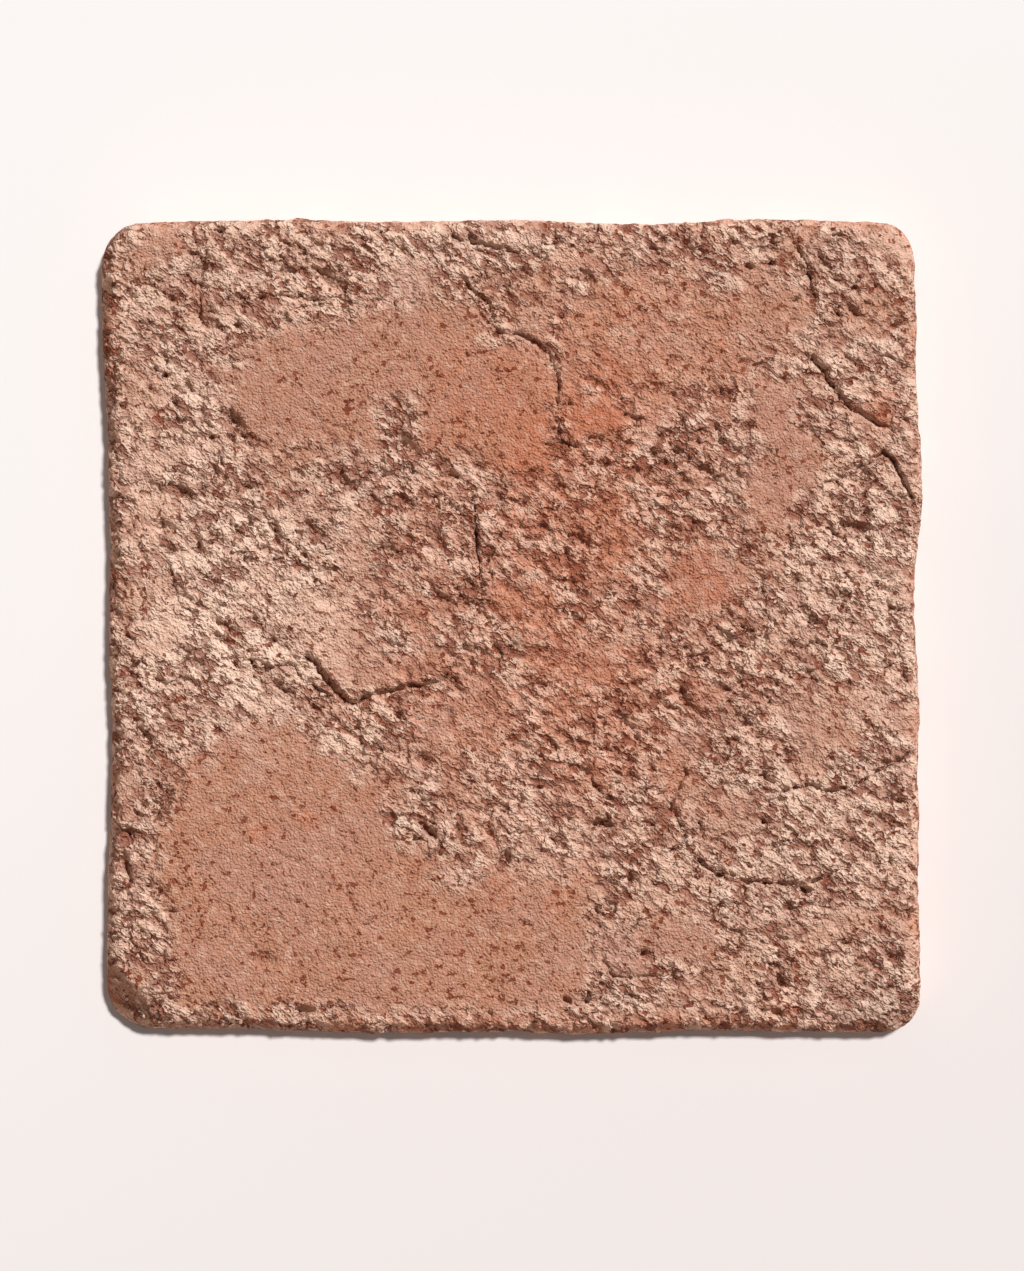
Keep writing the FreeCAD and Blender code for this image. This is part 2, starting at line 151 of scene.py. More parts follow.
trowelled = {
    # flat patches that stand a little proud: how smooth, how much higher, and the outline
    "farLeft": (1.0, 0.25, [(-111, 95), (-105, 97), (-92, 101), (-88, 106), (-82, 110), (-76, 107),
        (-70, 110), (-60, 114), (-50, 118), (-35, 120), (-20, 118), (-14, 112), (-8, 104), (4, 101),
        (13, 97), (16, 88), (15, 76), (10, 66), (16, 58), (8, 54), (-4, 55), (-10, 60), (-18, 63),
        (-34, 64), (-35, 84), (-49, 84), (-49, 64), (-65, 64), (-84, 64), (-93, 66), (-97, 70), (-101, 76),
        (-104, 80), (-108, 87)]),
    "farRight": (0.75, 0.1, [(18, 84), (30, 86), (40, 82), (52, 84), (60, 90), (62, 84), (75, 86), (84, 90),
        (92, 95), (103, 104), (109, 112), (109, 119), (104, 124), (95, 126), (80, 124), (62, 127),
        (45, 130), (30, 128), (22, 120), (20, 108), (17, 100)]),
    "lilac": (1.0, 0.3, [(88, 92), (96, 89), (104, 88), (105, 80), (104, 72), (112, 68), (118, 66),
        (119, 58), (112, 55), (105, 47), (103, 43), (100, 38), (94, 31), (88, 31), (84, 40), (86, 50),
        (92, 60), (90, 72), (88, 80)]),
    "nearLeft": (1.0, 0.2, [(-120, -52), (-100, -38), (-80, -33), (-66, -46), (-60, -52), (-48, -60),
        (-45, -75), (-34, -82), (-20, -95), (0, -90), (16, -94), (30, -92), (28, -110), (30, -125),
        (26, -140), (0, -142), (-30, -141), (-50, -142), (-80, -138), (-100, -141), (-120, -138),
        (-126, -128), (-125, -118), (-130, -104), (-127, -95), (-130, -88), (-131, -80), (-130, -72),
        (-125, -62)]),
    "nearLilac": (0.95, 0.2, [(44, -112), (50, -108), (62, -107), (75, -109), (78, -116), (72, -122),
        (60, -124), (50, -121)]),
    "orangeRight": (0.9, 0.2, [(56, 5), (66, 3), (80, 8), (83, 18), (80, 28), (68, 30), (58, 24)]),
    "orangeMid": (0.7, 0.15, [(33, 28), (42, 28), (43, 36), (38, 39), (32, 36)]),
    "orangeNear": (0.8, 0.15, [(64, -20), (75, -18), (76, -28), (66, -29)]),
    "tanRight": (0.75, 0.2, [(103, -25), (114, -22), (126, -26), (126, -42), (112, -46), (103, -42)]),
    "tanNear": (0.75, 0.1, [(70, -66), (82, -64), (83, -77), (71, -78)]),
    "lens": (1.0, 0.4, [(-134, -9), (-130, -6), (-126, -2), (-122, 0), (-120.5, -2), (-125, -6),
        (-130, -9.5)]),
    "cornerTan": (0.8, 0.2, [(-141, 136), (-138, 146), (-126, 147), (-122, 138), (-130, 130), (-138, 129)]),
    "farCorner": (0.7, 0.0, [(124, 151), (129, 139), (139, 128), (153, 121), (153, 140), (140, 151)]),
    "mesa": (1.0, 0.5, [(20, 84), (30, 84.5), (35, 80), (40, 74), (40, 70.5), (30, 69.5), (24, 65.5),
        (19, 69), (19, 78)]),
    "paleLeft": (0.8, 0.3, [(-84, 2), (-78, -8), (-70, -14), (-62, -24), (-56, -24), (-44, -22), (-46, -10),
        (-56, 2), (-66, 12), (-76, 12)]),
    "orangeCentre": (0.6, 0.2, [(-40, -28), (-20, -24), (-6, -18), (4, -30), (-8, -44), (-22, -50),
        (-36, -46)]),
    "orangeSeam": (0.55, 0.1, [(4, 2), (20, 0), (40, -6), (48, -20), (36, -24), (18, -28), (4, -16)]),
}

cracks = {
    # tears in the face: width, depth, step up on the left of the run, and the line that each follows
    "leftStep": (0.72, 0.41, 0.5, [(-96, -12), (-92, -13.5), (-88, -15), (-84, -13), (-80, -14), (-79, -17),
        (-76, -20), (-72, -22), (-68, -25), (-66, -28)]),
    "centreStep": (1.12, 0.85, 0.9, [(-81, -8), (-80, -10), (-76, -12), (-72, -13), (-72, -15), (-69, -18),
        (-66, -20.5), (-64, -22), (-63, -26), (-58, -28.5), (-54, -26), (-50, -24.5), (-46, -24),
        (-42, -26)]),
    "centreStepEnd": (0.72, 0.45, 0.6, [(-43, -23.5), (-35, -22), (-30, -22), (-25, -21), (-20, -18.5)]),
    "nearRightCrack": (0.72, 0.9, 0.5, [(62, -50), (64, -53.5), (63, -56), (60, -60), (58, -62),
        (58.5, -65), (57, -67), (59, -70), (61, -71.5), (62, -74), (65, -74)]),
    "nearRightLoop": (0.8, 1.2, 0.3, [(66, -72), (69, -74.5), (70, -77.5), (72, -78.5), (76, -77.5),
        (79, -76)]),
    "nearRightRun": (0.72, 0.63, 0.3, [(64, -80), (67, -83), (69, -86), (72, -88), (75, -91), (79, -93),
        (82, -94.5)]),
    "gash": (0.96, 0.68, 0.5, [(78, -90), (82, -92), (86, -93.5), (94, -94), (100, -94), (106, -94.5),
        (110, -93), (113, -92), (118, -90.5), (121, -89.5)]),
    "gashEnd": (0.64, 0.45, 0.3, [(125, -85), (129, -83)]),
    "gashFall": (1.12, 0.9, 0.0, [(103, -95), (106, -95.5), (108, -98.5)]),
    "rightFoldStart": (0.56, 0.41, 0.4, [(84, -53), (88, -54), (92, -54.5), (97, -55)]),
    "rightFold": (0.88, 0.72, 0.7, [(92, -57), (96, -60), (100, -60), (104, -59), (108, -57.5),
        (112, -59.5), (117, -60.5), (120, -59.5), (124, -58.5), (128, -57), (132, -54.5), (136, -52),
        (140, -50), (147, -46), (152, -43)]),
    "rightFoldDrop": (0.7, 1.0, 0.2, [(139, -56), (139, -60), (138, -66)]),
    "middleFold": (0.72, 0.59, 0.6, [(50, -9), (58, -11), (63, -12), (66, -10.5), (70, -10), (74, -9),
        (76, -7), (80, -5), (84, -3), (88, -1), (90, 0)]),
    "middleFoldEnd": (0.56, 0.36, 0.3, [(89, -11), (94, -11), (98, -10)]),
    "middleFoldFar": (0.8, 1.0, 0.3, [(101, -3), (103, -7), (106, -8), (110, -6), (113, -5)]),
    "middleFoldRim": (0.7, 0.9, 0.3, [(116, -9), (120, -6), (122, -3.5)]),
    "cleft": (1.2, 0.72, 0.4, [(61, -20), (63, -24), (63, -28), (66, -30), (69, -32), (72, -33)]),
    "cleftSide": (0.6, 0.7, 0.2, [(57, -30), (62, -29.5)]),
    "tear": (1.2, 0.81, 0.7, [(106, 101), (110, 98), (113, 94), (115, 91), (119, 85), (121, 81),
        (124, 79.5), (128, 79), (131, 77), (134, 74), (138, 73), (140, 71)]),
    "tearSide": (0.8, 1.2, 0.4, [(139.5, 80), (139, 76), (139, 72)]),
    "rent": (1.2, 0.77, 0.4, [(103, 141), (105, 137), (108, 133), (109, 128), (110, 122), (110, 118)]),
    "rentTop": (0.9, 1.3, 0.3, [(90, 142), (92, 140.5), (100, 141), (102, 141.5)]),
    "rentSide": (1.0, 1.2, 0.3, [(103, 135), (106, 131), (109, 127)]),
    "ridgeFar": (0.8, 0.9, 0.5, [(80, 99), (84, 97), (88, 96), (93, 95), (97, 91.5), (100, 90), (104, 90)]),
    "ridgeFarSide": (0.8, 0.9, 0.2, [(90, 105), (94, 101)]),
    "splitEdge": (0.72, 0.68, 0.5, [(122, 57), (128, 58), (132, 60), (136, 64), (139, 61), (142, 56),
        (143.5, 52), (145, 49), (147, 46), (147, 42), (146.5, 38), (147.5, 35), (148, 32), (149, 28)]),
    "splitEdgeFar": (0.8, 1.2, 0.3, [(136, 64), (139, 68), (139, 72)]),
    "rimFar": (0.8, 1.0, 0.4, [(131, 101), (135, 99), (140, 98)]),
    "pocketEdge": (1.6, 1.8, 0.5, [(115, 38), (117, 34.5), (120, 32.5), (124, 33), (128, 33), (133, 32.5)]),
    "rimRight": (0.9, 1.3, 0.4, [(139, 6.5), (143, 6), (147, 5.5)]),
    "blockEdge": (0.7, 1.0, 0.3, [(92, 30), (96, 32), (99, 34.5)]),
    "blockEdgeSide": (0.6, 0.8, 0.3, [(83, 31), (91, 31.5)]),
    "shortRight": (0.8, 1.1, 0.2, [(90, 22), (92, 18), (93, 16.5)]),
    "shortRightB": (0.7, 0.9, 0.2, [(115, 14), (115, 10)]),
    "shortRightC": (0.7, 0.9, 0.2, [(112, 23), (114, 19.5)]),
    "shortRightD": (0.7, 0.9, 0.3, [(62, 5), (66, 6), (68.5, 7.5)]),
    "hookRight": (0.7, 1.0, 0.2, [(138, -14), (136, -17), (134.5, -18)]),
    "hookRightB": (0.7, 1.0, 0.2, [(136.5, -21), (137, -25), (140, -25)]),
    "archRight": (0.7, 0.9, 0.3, [(94, -49), (99, -47), (104, -45.5), (108, -45), (112, -49)]),
    "archRightB": (0.8, 1.0, 0.3, [(134, -50), (141, -48), (147, -46)]),
    "rimNear": (0.9, 1.3, 0.4, [(143, -85), (147, -89), (151, -90)]),
    "farChain": (1.04, 0.63, 0.4, [(-20, 131), (-17, 127), (-16, 124), (-12, 121), (-9, 118), (-7, 114),
        (-6, 110)]),
    "farChainTop": (1.2, 1.3, 0.3, [(-20, 132), (-14, 134), (-12, 137), (-4, 135), (-1, 132)]),
    "farHollow": (1.2, 0.72, 0.4, [(-16, 147), (-15, 141), (-8, 139), (-2, 139), (0, 137)]),
    "farHollowTop": (0.9, 1.1, 0.3, [(-10, 148), (-4, 145)]),
    "darkSeam": (1.04, 0.77, 0.5, [(-11, 108.5), (-6, 109), (-3, 107), (0, 106.5), (3, 107), (6, 105),
        (9, 103.5), (12, 100.5), (13.5, 99.5)]),
    "darkSeamEnd": (0.72, 0.5, 0.4, [(13.5, 99.5), (14.5, 95), (17, 91), (17.5, 86)]),
    "mesaEdge": (0.8, 0.59, 0.5, [(16, 76), (16, 71), (18, 68), (21, 66), (24, 65.5), (27, 67), (30, 69.5),
        (34, 68.5), (38, 69.5), (40, 71), (43, 69)]),
    "shortFar": (0.8, 1.0, 0.2, [(29, 98), (32, 94)]),
    "slantFar": (0.8, 1.0, 0.3, [(35, 91), (39, 85), (42, 82)]),
    "slantFarB": (0.8, 1.0, 0.3, [(38, 81), (43, 77), (50, 75)]),
    "slantFarC": (0.9, 1.0, 0.4, [(50, 89), (54, 88), (58, 85), (62, 84)]),
    "slantFarD": (0.9, 1.0, 0.4, [(58, 64), (62, 65), (64, 63), (67, 60), (70, 60)]),
    "hookFar": (0.7, 0.9, 0.2, [(-19, 77), (-17, 74), (-15, 70)]),
    "slit": (0.4, 1.57, 0.15, [(-14, 49), (-14, 40), (-13, 33), (-12.5, 29), (-12.3, 24), (-12, 20)]),
    "slantCentre": (0.8, 0.9, 0.3, [(-4, 51), (-1, 47), (3, 44.5), (6, 45)]),
    "flatCentre": (0.8, 0.8, 0.4, [(-32, 8), (-26, 8.5), (-20, 8)]),
    "flatCentreB": (0.8, 0.8, 0.4, [(-17, 10), (-8, 9.5)]),
    "flatCentreC": (0.8, 0.9, 0.4, [(-18, -7), (-8, -8)]),
    "flatCentreD": (0.8, 0.9, 0.3, [(-16, -13), (-8, -15)]),
    "rowCentre": (0.8, 1.0, 0.3, [(22, -3), (26, -1.5), (29.5, -2)]),
    "rowCentreB": (0.5, 0.8, 0.1, [(30, -5.5), (36, -5)]),
    "rowCentreC": (0.5, 0.8, 0.1, [(39, -6.5), (46, -8)]),
    "rowCentreD": (0.9, 1.0, 0.3, [(2, -17), (4, -20), (8, -22)]),
    "arcCentre": (0.9, 1.1, 0.4, [(16, -31), (19, -29.5), (24, -28), (30, -25), (32, -24)]),
    "arcCentreB": (0.8, 1.0, 0.4, [(35, -21), (43, -21), (50, -19)]),
    "nearSlit": (0.36, 0.54, 0.1, [(-34, -40), (-34, -57)]),
    "curlCentre": (0.9, 1.2, 0.3, [(13, -41), (16, -44), (17, -47), (14, -49), (10, -50)]),
    "nearFold": (0.88, 0.54, 0.4, [(26, -50), (28, -55), (30, -58), (31, -60), (35, -63), (40, -65),
        (45, -65)]),
    "nearRow": (0.9, 1.0, 0.4, [(0, -73.5), (4, -75), (8, -74.5), (11, -72.5), (16, -71)]),
    "nearRowB": (0.7, 0.8, 0.3, [(16, -75), (20, -79)]),
    "nearArch": (0.9, 0.9, 0.4, [(-20, -50), (-16, -56), (-12, -57), (-5, -55)]),
    "crescent": (0.8, 0.59, -0.4, [(32, -118), (33, -122), (35, -125), (37, -128), (40, -129), (43, -128.5),
        (45, -126)]),
    "crescentEnd": (0.64, 0.45, 0.4, [(50, -128), (58, -129), (64, -127)]),
    "crescentFar": (0.8, 1.0, 0.4, [(68, -128), (75, -126), (80, -125)]),
    "nearShort": (0.7, 0.9, 0.2, [(32, -138), (40, -139)]),
    "scratch": (0.4, 0.6, 0.0, [(-10, -128.5), (-2, -128)]),
    "scratchB": (0.4, 0.6, 0.0, [(-13, -134), (-10, -133), (-3, -133.5)]),
    "scratchC": (0.4, 0.6, 0.0, [(1, -132.5), (5, -134)]),
    "scratchD": (0.4, 0.7, 0.0, [(2, -95), (4, -98)]),
    "leftFissure": (0.64, 0.72, 0.3, [(-114, 130), (-114.5, 122), (-114, 113), (-111, 109)]),
    "leftLedge": (0.72, 0.45, 0.5, [(-110, 120), (-100, 120.5), (-92, 120), (-88, 119), (-84, 121),
        (-78, 120.5), (-70, 119.5), (-64, 122)]),
    "farRow": (1.0, 1.1, 0.4, [(-90, 130), (-82, 129), (-74, 131), (-66, 129.5), (-54, 131)]),
    "farShort": (0.9, 1.2, 0.3, [(-57, 142), (-50, 142)]),
    "leftNotch": (1.4, 1.6, 0.4, [(-149, 119), (-146, 116), (-144.5, 113)]),
    "leftHook": (1.0, 1.4, 0.3, [(-125.5, 111), (-121, 109), (-117, 108)]),
    "leftRim": (0.9, 1.3, 0.5, [(-104, 79), (-100, 76), (-99, 70), (-96, 68)]),
    "patchFoot": (0.8, 0.9, 0.4, [(-84, 64.5), (-79, 65), (-72, 64.5), (-65, 64.5)]),
    "patchLine": (0.5, 0.7, 0.2, [(-68, 74), (-63, 73.5), (-58, 71)]),
    "patchLineB": (0.5, 0.7, 0.2, [(-71, 73), (-68, 71), (-64, 70)]),
    "leftCrack": (0.72, 0.54, 0.4, [(-151, -28), (-146.5, -25), (-143, -21.5), (-140, -17.5), (-138, -14),
        (-137, -12)]),
    "leftShort": (0.7, 0.9, 0.2, [(-121, 50), (-120, 45), (-119, 38), (-117, 34)]),
    "leftShortB": (1.0, 1.5, 0.2, [(-128, 40), (-127.5, 37), (-127, 33)]),
    "leftShortC": (0.7, 0.8, 0.2, [(-125, 24), (-124.5, 20), (-121, 16), (-119, 10)]),
    "leftGroove": (0.5, 0.5, 0.1, [(-112, -3), (-112.5, -20), (-112, -38)]),
    "leftShortD": (0.8, 0.9, 0.2, [(-80, 30), (-77, 27), (-75, 24)]),
    "leftShortE": (0.6, 0.7, 0.2, [(-88, -30), (-84, -31), (-82, -30)]),
    "trough": (1.6, 0.63, 0.3, [(-142, -81), (-141, -88), (-140, -92), (-141, -98)]),
    "troughEnd": (0.8, 1.0, 0.2, [(-141, -110), (-140, -113), (-138, -118)]),
    "troughSide": (0.6, 0.8, 0.2, [(-130, -80), (-130.5, -85), (-129.5, -90)]),
}

pits = {
    # the larger pits by area of the face: x, y, length, breadth, depth, turn from +X
    "farLeft": [
        (-107.5, 145, 4.5, 3.5, 0.3, 0), (-60, 90, 1.6, 1.2, 1, 0), (-73, 77.5, 2, 1.2, 1, 60),
        (-76.5, 68.5, 1.8, 1.2, 1, 0), (-125.5, 52, 3, 2, 1.8, 0), (-146, 95, 5, 3.5, 1.4, 90),
        (-142, 80, 4, 3, 1.2, 60), (-132.5, 87, 3, 4, 1.4, 60), (-124, 82, 4, 2.4, 1.6, -50),
        (-103, 78, 5, 4, 0.5, -50), (-114, 131, 9, 6, 0.3, 60), (-110.5, 110, 4.5, 4, 0.5, 0)],
    "farMiddle": [
        (32, 115, 1.6, 1.4, 1, 0), (32, 105, 1.6, 1.4, 1, 0), (30, 134, 2, 1.5, 1, 0),
        (-8, 90, 1.6, 1.4, 1.2, 0), (-18.5, 82, 1.8, 1.4, 1.2, 0), (21, 81, 3, 0.8, 1.2, 80),
        (-13, 59.5, 2.2, 1.6, 1.2, 0), (-23, 55, 10, 4, 0.3, 0)],
    "farRight": [
        (86.5, 131.5, 4, 3, 0.3, 90), (94, 132.5, 8, 2, 0.3, 0), (140, 110, 4, 3, 1.4, 0),
        (125, 115, 6, 4, 0.4, -40), (129, 118, 3, 2, 1.2, -40), (133, 124, 3, 2, 1.2, -40)],
    "midLeft": [
        (-99, 3, 1.8, 1.4, 1.1, 0), (-64, 6, 1.6, 1.3, 1.1, 0)],
    "midMiddle": [
        (-18, 43, 2.5, 1.4, 1.3, 70), (-13, 34, 1.4, 2.4, 1.6, 0), (-21, 14, 2.4, 1.8, 1.2, 0),
        (-38.5, -5, 1.6, 1.2, 1.2, 0), (-41.5, -33, 5, 3, 0.3, 70), (45, -40.5, 2.8, 2.2, 1.4, 0),
        (8.5, 36, 5, 4, 0.2, 40)],
    "midRight": [
        (106, 36.5, 2.4, 1.6, 1.3, 0), (128, 36, 16, 5, 0.3, -8)],
    "nearLeft": [
        (-76, -141, 9, 6, 0.3, 10), (-129, -130, 1.6, 1.3, 1, 0), (-126, -129, 1.5, 1.2, 1, 0),
        (-128, -134, 1.8, 1.4, 1, 0), (-130, -125, 1.4, 1.1, 1, 0), (-125, -104, 7, 1.5, 0.3, 0),
        (-119.5, -95, 3, 1.4, 1.3, -30), (-91, -62, 1.6, 1.2, 1.1, 0), (-90.5, -96.5, 1.8, 1.4, 1.3, 0),
        (-85.5, -107.5, 5, 1.1, 1.3, 80), (-88, -111, 1.6, 1.6, 1.1, 0), (-85, -87.5, 1.6, 1.2, 1.2, 0),
        (-79, -100, 2.2, 2, 1.4, 0), (-78, -112, 1.6, 1.3, 1.1, 0), (-75.5, -108, 1.5, 1.2, 1.1, 0),
        (-60, -98.5, 1.7, 1.3, 1.1, 0), (-57.5, -103, 2, 1.3, 1.1, 40), (-105, -124.5, 1.8, 1.4, 1.1, 0),
        (-104, -128.5, 1.8, 1.3, 1.1, 0), (-91, -122, 8, 5, 0.3, 0), (-142, -75, 10, 5, 1.4, 0)],
    "nearMiddle": [
        (48, -120, 4.5, 1.8, 0.3, 50), (20, -137, 4, 3.2, 0.3, 0), (27.5, -135.5, 4, 1.6, 1.3, 65),
        (-8, -142, 3.5, 3, 1.3, 0), (4.5, -108.5, 1.7, 1.4, 1.2, 0), (9.5, -116, 1.7, 1.3, 1.2, 0),
        (10, -119.5, 1.6, 1.2, 1.1, 0), (-1, -104, 1.6, 1.2, 1.1, 0), (-9, -99, 1.6, 1.2, 1.1, 0),
        (-33.5, -109, 1.8, 1.4, 1.1, 0), (-24, -120.5, 1.8, 1.3, 1.1, 0), (-28, -83, 2, 1.4, 1.1, 0),
        (25, -80, 3.4, 2, 1.2, 0), (32, -72.5, 12, 4.5, 0.4, 0), (-30.5, -74.5, 9, 3, 0.3, -35),
        (-2.5, -84.5, 8, 4.5, 0.3, 70)],
    "nearRight": [
        (92.5, -71, 2, 1.6, 1.8, 0), (121, -76, 1.8, 1.4, 1.2, 0), (120, -132, 2, 1.5, 1.1, 0),
        (52.5, -105, 2, 1.4, 1.1, 0), (145, -106, 8, 5, 2, 0), (143, -65, 6, 3, 1.2, -60)],
}


def nearby(x, y, points, margin):
    # which places are close enough to a line to feel it
    points = np.asarray(points, float)
    low, high = points.min(0) - margin, points.max(0) + margin
    return np.nonzero((x > low[0]) & (x < high[0]) & (y > low[1]) & (y < high[1]))[0]


def faceRelief(x, y, look):
    # the height of every place of the face above or below its worn plane, and the masks that the colours use
    push, size = look["warp"]
    wx = x + push * layered(x / size, y / size, 11, 3)
    wy = y + push * layered(x / size, y / size, 19, 3)
    smooth = np.zeros(x.shape)
    plate = np.zeros(x.shape)
    (broad, broadSize), (fine, fineSize) = look["ragged"]
    ragged = (broad * layered(x / broadSize, y / broadSize, 23, 2)
              + fine * layered(x / fineSize, y / fineSize, 29, 2, 0.6))
    for amount, rise, outline in trowelled.values():
        at = nearby(x, y, outline, 8)
        inside = insidePolygon(wx[at], wy[at], outline) + ragged[at]
        smooth[at] = np.maximum(smooth[at], amount * ease(inside, -look["softBorder"], look["softBorder"]))
        plate[at] = np.maximum(plate[at], rise * ease(inside, *look["plateEdge"]))
    # half-worn stretches between the patches
    share, size = look["halfWorn"]
    smooth = np.maximum(smooth, share * ease(layered(x / size, y / size, 47, 3), 0.0, 0.6))
    rough = 1 - smooth
    # long waves of the worn face
    (broad, broadSize), (fine, fineSize) = look["waves"]
    height = (broad * layered(x / broadSize, y / broadSize, 37, 2)
              + fine * layered(x / fineSize, y / fineSize, 39, 2) + plate)
    # how strong the tearing is from place to place
    share, size = look["vigour"]
    vigour = 1 + share * layered(x / size, y / size, 41, 2)
    # where the streaks lie level instead of slanting
    flat = ease(layered(x / 30.0 + 3, y / 30.0, 43, 1) + (x + 10) / 90 - np.abs(y - 20) / 140, -0.1, 0.5)
    relief = np.zeros(x.shape)
    for number, (scale, depth, stretch) in enumerate(look["clods"]):
        ax, ay = turned(wx, wy, look["slant"], stretch)
        bx, by = turned(wx, wy, look["level"], stretch)
        field = (gradientNoise(ax / scale, ay / scale, 51 + 7 * number) * (1 - flat)
                 + gradientNoise(bx / scale, by / scale, 53 + 7 * number) * flat)
        relief = relief + depth * (np.abs(field) - look["clodMiddle"])
    for number, (scale, depth, level, crisp) in enumerate(look["torn"]):
        ax, ay = turned(wx, wy, (look["slant"], look["level"])[number], look["tornStretch"])
        field = layered(ax / scale, ay / scale, 71 + 7 * number, 2, 0.6)
        relief = relief - depth * (ease(field, level, level + crisp) - 0.2)
    torn = rough * vigour * relief
    height = height + torn
    # faint trowel streaks on the smooth patches and grain everywhere
    strength, turn, stretch, size = look["streaks"]
    sx, sy = turned(x, y, turn, stretch)
    height = height + smooth * strength * layered(sx / size, sy / size, 97, 2)
    size = look["grainSize"]
    grain = layered(x / size, y / size, 101, 2, 0.6)
    height = height + (look["grainRough"] * rough + look["grainSmooth"] * smooth) * grain
    # small pits, one to a cell, of which only some are there
    for number, (spacing, share, radius, depth) in enumerate(look["pits"]):
        cellX, cellY = (0.35 * wx + 0.65 * x) / spacing, (0.35 * wy + 0.65 * y) / spacing
        near, key = cells(cellX, cellY, 111 + 5 * number)
        size = radius / spacing * (0.6 + 0.8 * ((key * 91) % 1))
        there = (key < share)
        height = height - depth * there * (1 - ease(near / size, 0.45, 1.0))
    # the tears and pits that have a place of their own
    push, size = look["jitter"]
    jitterX = x + push * layered(x / size, y / size, 131, 3, 0.6)
    jitterY = y + push * layered(x / size, y / size, 137, 3, 0.6)
    # how wide a tear gapes from place to place
    jag = np.clip(0.85 + 0.9 * layered(x / 3.6, y / 3.6, 139, 2), 0.15, 1.7)
    # where the tears and pits lie, for the painted shade in them
    hollowShade = np.zeros(x.shape)
    for width, depth, step, line in cracks.values():
        at = nearby(x, y, line, 9)
        gap, side, along = distanceToLine(jitterX[at], jitterY[at], line)
        fade = ease(np.minimum(along, 1 - along), -0.02, 0.12)
        wide = width * jag[at] * (0.5 + 0.5 * fade)
        cut = (1 - ease(gap / wide, 0.15, 1.0)) * fade
        height[at] -= look["crack"] * depth * cut
        signed = side * gap
        height[at] += look["step"] * step * fade * (ease(signed, -0.4, 0.4) - 0.5) * (1 - ease(gap, 2.0, 8.0))
        hollowShade[at] = np.maximum(hollowShade[at], cut)
    for px, py, long, wide, depth, turn in [pit for area in pits.values() for pit in area]:
        at = nearby(x, y, [(px, py)], long)
        ux, uy = turned(jitterX[at] - px, jitterY[at] - py, turn, 1)
        away = np.hypot(ux / (long / 2), uy / (wide / 2)) / jag[at] ** 0.5
        bowl = 1 - ease(away, 0.55, 1.1)
        height[at] -= depth * bowl
        hollowShade[at] = np.maximum(hollowShade[at], 0.8 * bowl)
    return height, smooth, hollowShade, torn


faceLook = {
    "warp": (0.9, 4.2),                      # every form is pushed about: reach, size
    "ragged": [(5.0, 12.0), (3.2, 3.6)],     # the patches' borders: reach, size
    "softBorder": 5.0,                       # how far inside and outside its line a patch fades
    "plateEdge": (-1.2, 1.4),                # where a patch's rise starts and ends, from its line inwards
    "halfWorn": (0.6, 24.0),                 # half-worn stretches: share, size
    "waves": [(0.35, 38.0), (0.25, 9.0)],    # height, size
    "vigour": (0.45, 24.0),                  # the tearing's change in strength, and over what size
    "slant": -42, "level": 4,                # degrees that the streaks are turned from +X
    # clods: size, height, stretch along the streaks
    "clods": [(15.0, 0.9, 1.4), (8.0, 0.7, 1.6), (4.4, 0.65, 1.5), (2.7, 0.6, 1.4), (1.6, 0.3, 1.2)],
    "clodMiddle": 0.22,
    # tearing: size, depth, level at which it starts, how crisp
    "torn": [(6.5, 0.8, 0.2, 0.1), (3.4, 0.6, 0.25, 0.1)],
    "tornStretch": 1.4,
    "streaks": (0.10, -52, 7.0, 1.5),        # height, degrees from +X, stretch, size
    "grainSize": 1.25, "grainRough": 0.10, "grainSmooth": 0.07,
    # pits: spacing, share of cells, radius, depth
    "pits": [(7.5, 0.25, 0.7, 0.8), (3.4, 0.12, 0.45, 0.5)],
    "jitter": (0.9, 3.4),                    # how the tears and pits are pushed about: reach, size
    "crack": 0.7, "step": 1.0,               # how much of their depths and steps the tears have
}


sideLook = {
    # lumps of the pressed side: size, height
    "lumps": [(11.0, 0.5), (4.6, 0.32), (2.4, 0.2), (1.3, 0.1)],
    "pits": 0.7,
    "drag": 0.15,
}


def sideRelief(x, y, z, look):
    # the sides: layered noise on x + z and y - z, which runs round the corners without a seam, less sparse
    # pits, and faint level drag marks
    ahead, up = x + z, y - z
    height = 0
    for number, (scale, depth) in enumerate(look["lumps"]):
        height = height + depth * layered(ahead / scale, up / scale, 211 + 5 * number, 2)
    height = height - look["pits"] * ease(layered(ahead / 3.4, up / 3.4, 241, 2), 0.42, 0.7)
    return height + look["drag"] * layered((x - y) / 14.0, z / 1.3, 251, 2)


def bedRelief(x, y):
    # the bed: sanded clay, only ever pressed inwards, with a few shallow hollows
    sanded = 0.1 * np.abs(layered(x / 16.0, y / 16.0, 261, 1))
    hollows = 0.35 * ease(layered(x / 19.0, y / 19.0, 271, 1), 0.4, 0.8)
    return -sanded - hollows


# The tile's surface: a profile carried along the CAD outline, closed by a face and a bed.

tileLook = {
    "cell": 0.62,          # distance between points of the first, fine surface
    "inset": 8.0,          # the profile starts this far in on the face, and ends as far in on the bed
    "arris": 4.4,          # radius of the worn top edge
    "foot": 1.4,           # radius of the bottom edge
    "footLevel": 1.2,      # height of the CAD tile's bottom bevel
    "clearance": 2.0,      # the fine surface starts this far outside the CAD tile and is pressed on to it
    "wander": 0.8,         # how far the face's points are moved sideways
    "triangles": 190000,   # how many triangles the tile is thinned to; what the finished tile may have
}


def footLine(node, level):
    # the widest line round the CAD tile: its vertices just above the bevel of its foot, in order
    points = np.empty(3 * len(node.data.vertices))
    node.data.vertices.foreach_get("co", points)
    points = points.reshape(-1, 3) / mm
    ring = points[np.abs(points[:, 2] - level) < 0.05, :2]
    order = np.unique(np.round(np.arctan2(ring[:, 1], ring[:, 0]), 5), return_index=True)[1]
    return ring[order]


